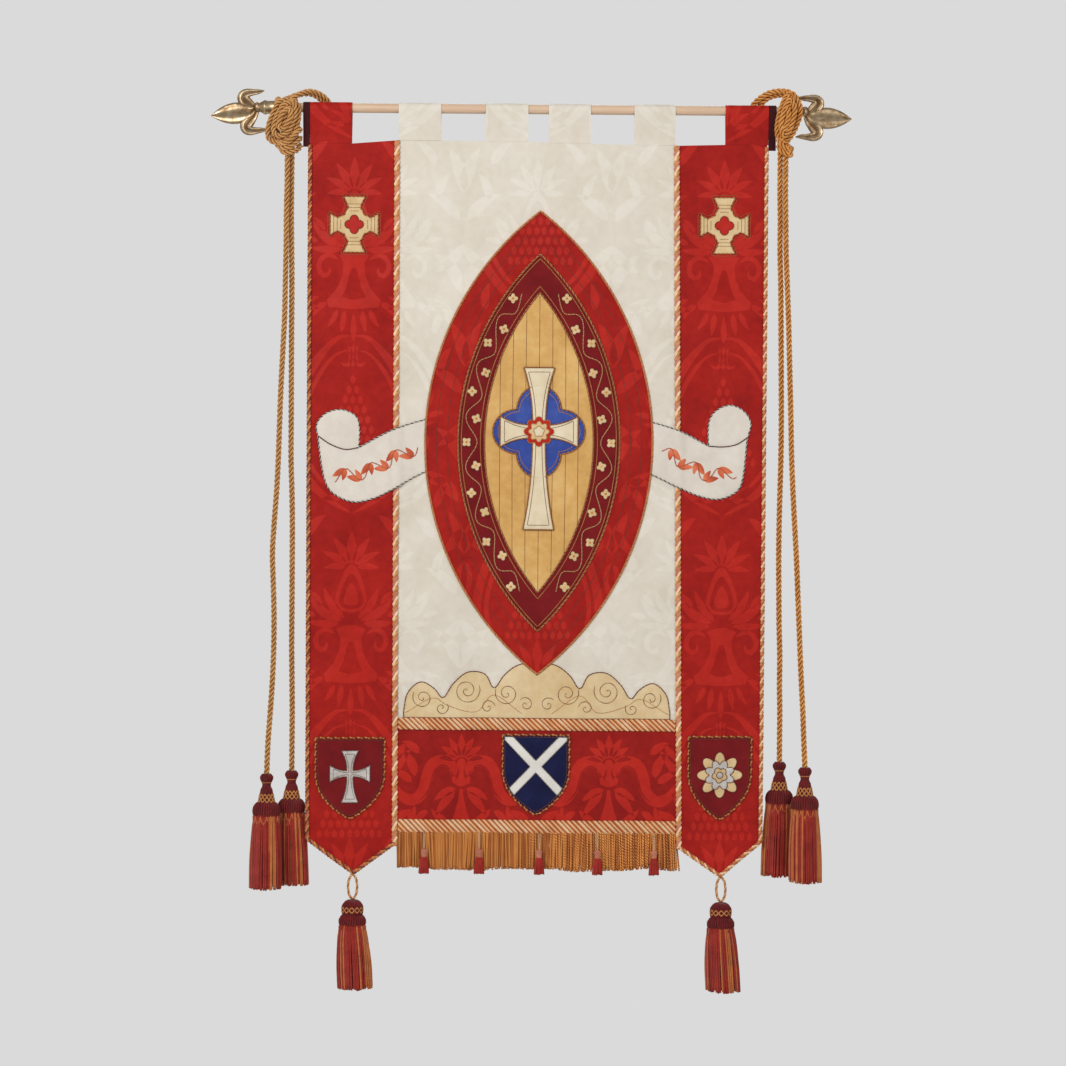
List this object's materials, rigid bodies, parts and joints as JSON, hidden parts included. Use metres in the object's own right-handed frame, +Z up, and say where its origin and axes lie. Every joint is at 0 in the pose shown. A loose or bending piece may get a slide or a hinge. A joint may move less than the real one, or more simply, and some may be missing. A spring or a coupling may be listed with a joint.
{
  "type": "church banner on a pole",
  "caption": "Church banner of red and ivory damask with pointed lappets, shields, fringe and tassels, hung by tabs from a wooden pole with brass finials and knotted ropes.",
  "frame": {"origin": "on the pole's axis, above the middle of the cloth", "axes": "+X along the pole to the viewer's right, -Y out of the cloth's front, +Z up"},
  "size_m": [1.2809, 0.1092, 1.807],
  "materials": {
    "red_damask": "satin figure on a matt ground",
    "ivory_damask": "satin figure on a matt ground",
    "maroon_velvet": "short pile",
    "dark_lining": "plain weave",
    "navy_velvet": "short pile",
    "blue_silk": "satin",
    "ochre_brocade": "metallic thread weave",
    "gold_cloth": "metallic thread weave",
    "gold_braid": "twisted metallic thread",
    "gold_rope": "laid rayon rope",
    "gold_fringe": "twisted bullion strands",
    "red_tassel": "rayon thread",
    "ivory_silk": "satin",
    "pole_wood": "sanded, waxed",
    "cast_brass": "worn, lightly polished"
  },
  "bodies": {
    "root": {"pole": "pole_wood", "finial_left": "cast_brass", "finial_right": "cast_brass", "tab_red_left": "red_damask", "tab_white_1": "ivory_damask", "tab_white_2": "ivory_damask", "tab_white_3": "ivory_damask", "tab_white_4": "ivory_damask", "tab_red_right": "red_damask", "tab_lining_left": "dark_lining", "tab_lining_right": "dark_lining", "centre_panel": "ivory_damask", "bottom_band": "red_damask", "lappet_left": "red_damask", "lappet_right": "red_damask", "edge_cord_left": "gold_braid", "edge_cord_right": "gold_braid", "seam_braid_left": "gold_braid", "seam_braid_right": "gold_braid", "wide_braid_upper": "gold_braid", "wide_braid_lower": "gold_braid", "fringe": "gold_fringe", "small_tassel_1": "red_tassel", "small_tassel_2": "red_tassel", "small_tassel_3": "red_tassel", "small_tassel_4": "red_tassel", "small_tassel_5": "red_tassel", "shield_left": "maroon_velvet", "shield_centre": "navy_velvet", "shield_right": "maroon_velvet", "saltire": "ivory_silk", "shield_left_cross": "ivory_silk", "shield_right_rosette": "gold_cloth", "lappet_ornament_left": "gold_cloth", "lappet_ornament_right": "gold_cloth", "oval_band": "red_damask", "oval_border": "maroon_velvet", "oval_field": "ochre_brocade", "field_quatrefoil": "blue_silk", "field_cross": "ivory_silk", "foot_scrolls": "gold_cloth", "ribbon_left": "ivory_silk", "ribbon_right": "ivory_silk", "rope_left_outer": "gold_rope", "rope_left_inner": "gold_rope", "rope_right_inner": "gold_rope", "rope_right_outer": "gold_rope", "knot_left": "gold_rope", "knot_right": "gold_rope", "side_tassel_left_outer": "red_tassel", "side_tassel_left_inner": "red_tassel", "side_tassel_right_inner": "red_tassel", "side_tassel_right_outer": "red_tassel", "tassel_loop_left": "gold_braid", "tassel_loop_right": "gold_braid", "lappet_tassel_left": "red_tassel", "lappet_tassel_right": "red_tassel"}
  },
  "joints": []
}
